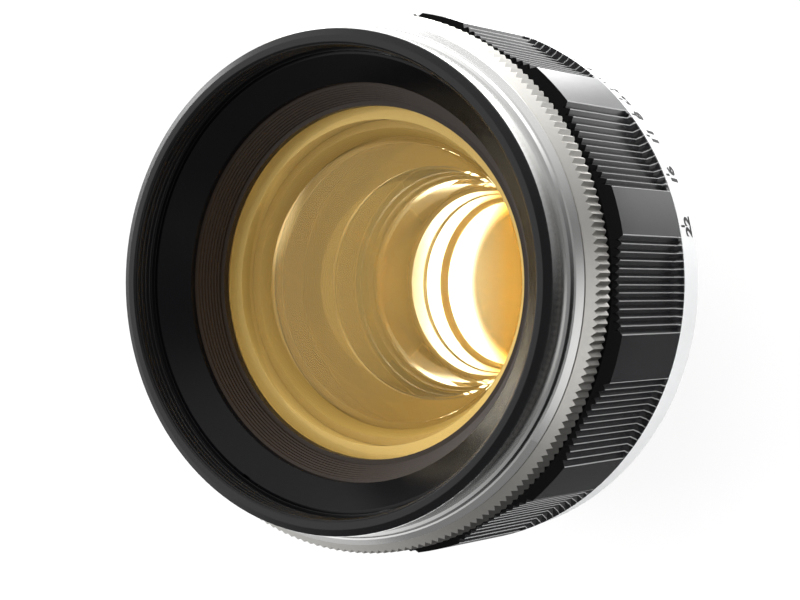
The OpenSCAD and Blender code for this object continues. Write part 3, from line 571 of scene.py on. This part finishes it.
# %% A ray from a pixel to the surface that carries a piece
RAY_STEP = 0.5 * MM           # how finely a ray that misses is searched for its nearest approach


def surface_of(name):
    """A search tree of one finished node, in the shared frame."""
    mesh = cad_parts[name].data
    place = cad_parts[name].matrix_world
    return BVHTree.FromPolygons([place @ vertex.co for vertex in mesh.vertices],
                                [list(face.vertices) for face in mesh.polygons])


def seen_on(point, surface):
    """Where the ray through a pixel meets a surface, or the surface's place nearest that ray."""
    ray = Vector((point[0] - W / 2 + camera_data.shift_x * LONG_SIDE,
                  H / 2 - point[1] + camera_data.shift_y * LONG_SIDE,
                  -LONG_SIDE * LENS_MM / SENSOR_MM))
    eye = camera.matrix_world.translation
    along = (camera.matrix_world.to_3x3() @ ray).normalized()
    place = surface.ray_cast(eye, along)[0]
    if place is not None:
        return place
    reach = RIM_CENTRE_FROM_CAMERA.length
    steps = [eye + along * (reach + step * RAY_STEP) for step in range(-100, 101)]
    return min((surface.find_nearest(place) for place in steps), key=lambda found: found[3])[0]


# %% The rule of the depth scale, from three lines seen
INDEX_ANGLE = math.radians(90)      # the focus index, on the +Y side
SCALE_LOW, SCALE_HIGH = (corner.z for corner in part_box("depth_scale_ring"))
scale_surface = surface_of("depth_scale_ring")
seen_lines = {number: seen_on(POINTS["mark_" + str(number)], scale_surface)
              for number in (22, 16, 11)}
DEGREES_PER_STOP_NUMBER = sum(
    (90 - math.degrees(math.atan2(place.y, place.x))) / number
    for number, place in seen_lines.items()) / len(seen_lines)
line_middle = sum(place.z for place in seen_lines.values()) / len(seen_lines)
print("lines seen", {number: [round(v / MM, 2) for v in place]
                     for number, place in seen_lines.items()})
print("degrees for each unit of f-number", round(DEGREES_PER_STOP_NUMBER, 3))
print("middle of the lines behind the ring's front", round((SCALE_HIGH - line_middle) / MM, 2))

# %% [markdown]
# ## Lines by Geometry Nodes
# A scale is the same short line again and again, so one node tree makes it. It sets a bar at each
# point that it is given, turned to face outwards from the lens axis, and realises the bars.

# %% The node tree
def line_tree():
    tree = bpy.data.node_groups.new("scale lines", "GeometryNodeTree")
    tree.interface.new_socket("Geometry", in_out="INPUT", socket_type="NodeSocketGeometry")
    for name in ("Line Width", "Line Length", "Line Thickness"):
        tree.interface.new_socket(name, in_out="INPUT", socket_type="NodeSocketFloat")
    tree.interface.new_socket("Material", in_out="INPUT", socket_type="NodeSocketMaterial")
    tree.interface.new_socket("Geometry", in_out="OUTPUT", socket_type="NodeSocketGeometry")

    given = tree.nodes.new("NodeGroupInput")
    made = tree.nodes.new("NodeGroupOutput")
    size = tree.nodes.new("ShaderNodeCombineXYZ")
    bar = tree.nodes.new("GeometryNodeMeshCube")
    place = tree.nodes.new("GeometryNodeInputPosition")
    split = tree.nodes.new("ShaderNodeSeparateXYZ")
    bearing = tree.nodes.new("ShaderNodeMath")
    bearing.operation = "ARCTAN2"
    facing = tree.nodes.new("ShaderNodeCombineXYZ")
    to_rotation = tree.nodes.new("FunctionNodeEulerToRotation")
    spread = tree.nodes.new("GeometryNodeInstanceOnPoints")
    realise = tree.nodes.new("GeometryNodeRealizeInstances")
    finish = tree.nodes.new("GeometryNodeSetMaterial")
    for source, target in (
            (given.outputs["Line Thickness"], size.inputs["X"]),
            (given.outputs["Line Width"], size.inputs["Y"]),
            (given.outputs["Line Length"], size.inputs["Z"]),
            (size.outputs[0], bar.inputs["Size"]),
            (place.outputs[0], split.inputs[0]),
            (split.outputs["Y"], bearing.inputs[0]),
            (split.outputs["X"], bearing.inputs[1]),
            (bearing.outputs[0], facing.inputs["Z"]),
            (facing.outputs[0], to_rotation.inputs[0]),
            (given.outputs["Geometry"], spread.inputs["Points"]),
            (bar.outputs["Mesh"], spread.inputs["Instance"]),
            (to_rotation.outputs[0], spread.inputs["Rotation"]),
            (spread.outputs[0], realise.inputs[0]),
            (realise.outputs[0], finish.inputs["Geometry"]),
            (given.outputs["Material"], finish.inputs["Material"]),
            (finish.outputs[0], made.inputs[0])):
        tree.links.new(source, target)
    return tree


LINE_TREE = line_tree()
LINE_THICKNESS = 0.03 * MM
PROUD = 0.012 * MM


def grown(name, points, tree, values):
    """A plain mesh of what a node tree makes at the points, with its named inputs set."""
    mesh = bpy.data.meshes.new(name)
    mesh.from_pydata([tuple(point) for point in points], [], [])
    holder = bpy.data.objects.new(name, mesh)
    bpy.context.scene.collection.objects.link(holder)
    modifier = holder.modifiers.new(name, "NODES")
    modifier.node_group = tree
    for socket in tree.interface.items_tree:
        if socket.in_out == "INPUT" and socket.name in values:
            modifier[socket.identifier] = values[socket.name]
    depsgraph = bpy.context.evaluated_depsgraph_get()
    plain = bpy.data.meshes.new_from_object(holder.evaluated_get(depsgraph))
    holder.modifiers.remove(modifier)
    bpy.data.objects.remove(holder)
    return plain


def lines(name, places, width, length, material):
    """A plain mesh of equal lines, one at each place."""
    return grown(name, places, LINE_TREE, {
        "Line Width": width, "Line Length": length, "Line Thickness": LINE_THICKNESS,
        "Material": material})


def at(bearing, radius, z):
    """The place of a line's middle, its face PROUD of a surface of that radius."""
    out = radius + PROUD - LINE_THICKNESS / 2
    return (out * math.cos(bearing), out * math.sin(bearing), z)


print("node tree", LINE_TREE.name, len(LINE_TREE.nodes), "nodes")

# %% [markdown]
# ## Figures
# Each figure is laid out flat, made a mesh, and bent round its ring, a hair's breadth proud of
# the plating.

# %% Bend flat artwork round a ring
FIGURE_THICKNESS = 0.004 * MM
CAP_SHARE = 0.7               # a figure's height over its font's size
STROKE_GAIN = 0.06            # of a figure's height, added to each side of its strokes


def on_ring(flat_mesh, bearing, z, radius_at):
    """Bends a flat mesh round the axis: its x runs round the ring and its y runs forwards."""
    for vertex in flat_mesh.vertices:
        height = z + vertex.co.y
        radius = radius_at(height) + PROUD + vertex.co.z
        here = bearing + vertex.co.x / radius
        vertex.co = (radius * math.cos(here), radius * math.sin(here), height)


def figure(text, size, slant, bearing, z, radius_at):
    """A number as tall as size, its middle at the bearing and at z."""
    data = bpy.data.curves.new("figure", "FONT")
    data.body = text
    data.size = size / CAP_SHARE
    data.shear = slant
    data.align_x = "CENTER"
    data.extrude = FIGURE_THICKNESS
    data.resolution_u = 4
    data.offset = STROKE_GAIN * size
    holder = bpy.data.objects.new("figure", data)
    bpy.context.scene.collection.objects.link(holder)
    depsgraph = bpy.context.evaluated_depsgraph_get()
    mesh = bpy.data.meshes.new_from_object(holder.evaluated_get(depsgraph))
    bpy.data.objects.remove(holder)
    on_ring(mesh, bearing, z - size / 2, radius_at)
    mesh.materials.clear()
    return mesh


def join(meshes, name, body, material):
    """One object from several plain meshes, riding on a body."""
    whole = bmesh.new()
    for mesh in meshes:
        whole.from_mesh(mesh)
    for face in whole.faces:
        face.material_index = 0
    bmesh.ops.recalc_face_normals(whole, faces=whole.faces)
    made = bpy.data.meshes.new(name)
    whole.to_mesh(made)
    whole.free()
    piece = bpy.data.objects.new(name, made)
    bpy.context.scene.collection.objects.link(piece)
    made.materials.append(material)
    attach(piece, body)
    return piece


# %% The depth scale
SCALE_R_HIGH = 31.9 * MM
SCALE_R_LOW = 31.65 * MM


def scale_radius(z):
    share = (z - SCALE_LOW) / (SCALE_HIGH - SCALE_LOW)
    return SCALE_R_LOW + (SCALE_R_HIGH - SCALE_R_LOW) * min(max(share, 0.05), 0.97)


TICK_LENGTH = 1.5 * MM
TICK_Z = SCALE_HIGH - 0.9 * MM
FIGURE_Z = SCALE_HIGH - 2.75 * MM
INDEX_Z = SCALE_HIGH - 1.45 * MM
TICK_WIDTH = 0.26 * MM
INDEX_WIDTH = 0.3 * MM
INDEX_LENGTH = 2.6 * MM
DEPTH_NUMBERS = (22, 16, 11, 8, 5.6, 4, 2.8, 2)
FIGURES_ABOVE = 2.8           # lines for smaller numbers stand too close for figures
LARGE_ABOVE = 6
LARGE_FIGURE = 1.75 * MM
SMALL_FIGURE = 0.95 * MM
FIGURE_SLANT = 0.04


def depth_bearings(number):
    away = math.radians(number * DEGREES_PER_STOP_NUMBER)
    return (INDEX_ANGLE - away, INDEX_ANGLE + away)


tick_places = [at(bearing, scale_radius(TICK_Z), TICK_Z)
               for number in DEPTH_NUMBERS for bearing in depth_bearings(number)]
depth_marks = [
    lines("depth ticks", tick_places, TICK_WIDTH, TICK_LENGTH, INK_BLACK),
    lines("focus index", [at(INDEX_ANGLE, scale_radius(INDEX_Z), INDEX_Z)],
          INDEX_WIDTH, INDEX_LENGTH, INK_BLACK),
]
for number in (number for number in DEPTH_NUMBERS if number > FIGURES_ABOVE):
    size = LARGE_FIGURE if number > LARGE_ABOVE else SMALL_FIGURE
    for bearing in depth_bearings(number):
        depth_marks.append(
            figure(str(number), size, FIGURE_SLANT, bearing, FIGURE_Z, scale_radius))
join(depth_marks, "depth_figures", "mount", INK_BLACK)
print("depth scale", len(tick_places), "ticks", len(depth_marks) - 2, "figures")

# %% [markdown]
# ## The filter thread
# A second node tree winds the thread's crests: one ring with a pointed section, set down again
# at each pitch inside the front rim.

# %% Thread crests by Geometry Nodes
THREAD_PITCH = 0.75 * MM
THREAD_TURNS = 4
THREAD_FLANK = 0.2 * MM
THREAD_ROOT_R = 27.1 * MM
THREAD_TOP = FRONT_Z - 0.5 * MM


def thread_tree():
    tree = bpy.data.node_groups.new("thread crests", "GeometryNodeTree")
    tree.interface.new_socket("Geometry", in_out="INPUT", socket_type="NodeSocketGeometry")
    tree.interface.new_socket("Turns", in_out="INPUT", socket_type="NodeSocketInt")
    for name in ("Pitch", "Ring Radius", "Crest Radius"):
        tree.interface.new_socket(name, in_out="INPUT", socket_type="NodeSocketFloat")
    tree.interface.new_socket("Material", in_out="INPUT", socket_type="NodeSocketMaterial")
    tree.interface.new_socket("Geometry", in_out="OUTPUT", socket_type="NodeSocketGeometry")
    given = tree.nodes.new("NodeGroupInput")
    made = tree.nodes.new("NodeGroupOutput")
    step = tree.nodes.new("ShaderNodeCombineXYZ")
    back = tree.nodes.new("ShaderNodeMath")
    back.operation = "MULTIPLY"
    back.inputs[1].default_value = -1.0
    row = tree.nodes.new("GeometryNodeMeshLine")
    ring = tree.nodes.new("GeometryNodeCurvePrimitiveCircle")
    ring.inputs["Resolution"].default_value = 180
    section = tree.nodes.new("GeometryNodeCurvePrimitiveCircle")
    section.inputs["Resolution"].default_value = 4
    sweep = tree.nodes.new("GeometryNodeCurveToMesh")
    spread = tree.nodes.new("GeometryNodeInstanceOnPoints")
    realise = tree.nodes.new("GeometryNodeRealizeInstances")
    finish = tree.nodes.new("GeometryNodeSetMaterial")
    for source, target in (
            (given.outputs["Pitch"], back.inputs[0]),
            (back.outputs[0], step.inputs["Z"]),
            (given.outputs["Turns"], row.inputs["Count"]),
            (step.outputs[0], row.inputs["Offset"]),
            (given.outputs["Ring Radius"], ring.inputs["Radius"]),
            (given.outputs["Crest Radius"], section.inputs["Radius"]),
            (ring.outputs["Curve"], sweep.inputs["Curve"]),
            (section.outputs["Curve"], sweep.inputs["Profile Curve"]),
            (row.outputs["Mesh"], spread.inputs["Points"]),
            (sweep.outputs["Mesh"], spread.inputs["Instance"]),
            (spread.outputs[0], realise.inputs[0]),
            (realise.outputs[0], finish.inputs["Geometry"]),
            (given.outputs["Material"], finish.inputs["Material"]),
            (finish.outputs[0], made.inputs[0])):
        tree.links.new(source, target)
    return tree


thread = grown("filter thread", [], thread_tree(), {
    "Turns": THREAD_TURNS, "Pitch": THREAD_PITCH, "Ring Radius": THREAD_ROOT_R,
    "Crest Radius": THREAD_FLANK, "Material": BLACK_RIM})
thread.transform(Matrix.Translation((0, 0, THREAD_TOP)))
join([thread], "filter_thread_crests", "head", BLACK_RIM)
print("filter thread", THREAD_TURNS, "turns", len(thread.polygons), "faces")

# %% [markdown]
# ## What the camera should see
# The lesson ends by projecting every vertex of the finished pieces into the picture and finding
# the extent that they cover.

# %% Project the finished pieces
def pixel(point):
    """Where a point in the frame falls in the picture."""
    local = camera.matrix_world.inverted() @ Vector(point)
    scale = LENS_MM / SENSOR_MM * LONG_SIDE / -local.z
    return (W / 2 + local.x * scale, H / 2 - local.y * scale)


def finished_extent():
    depsgraph = bpy.context.evaluated_depsgraph_get()
    xs, ys = [], []
    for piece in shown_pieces():
        mesh = piece.evaluated_get(depsgraph).to_mesh()
        for vertex in mesh.vertices:
            x, y = pixel(piece.matrix_world @ vertex.co)
            xs.append(x)
            ys.append(y)
    return min(xs), max(xs), min(ys), max(ys)


def write_points():
    low_x, high_x, low_y, high_y = finished_extent()


write_points()
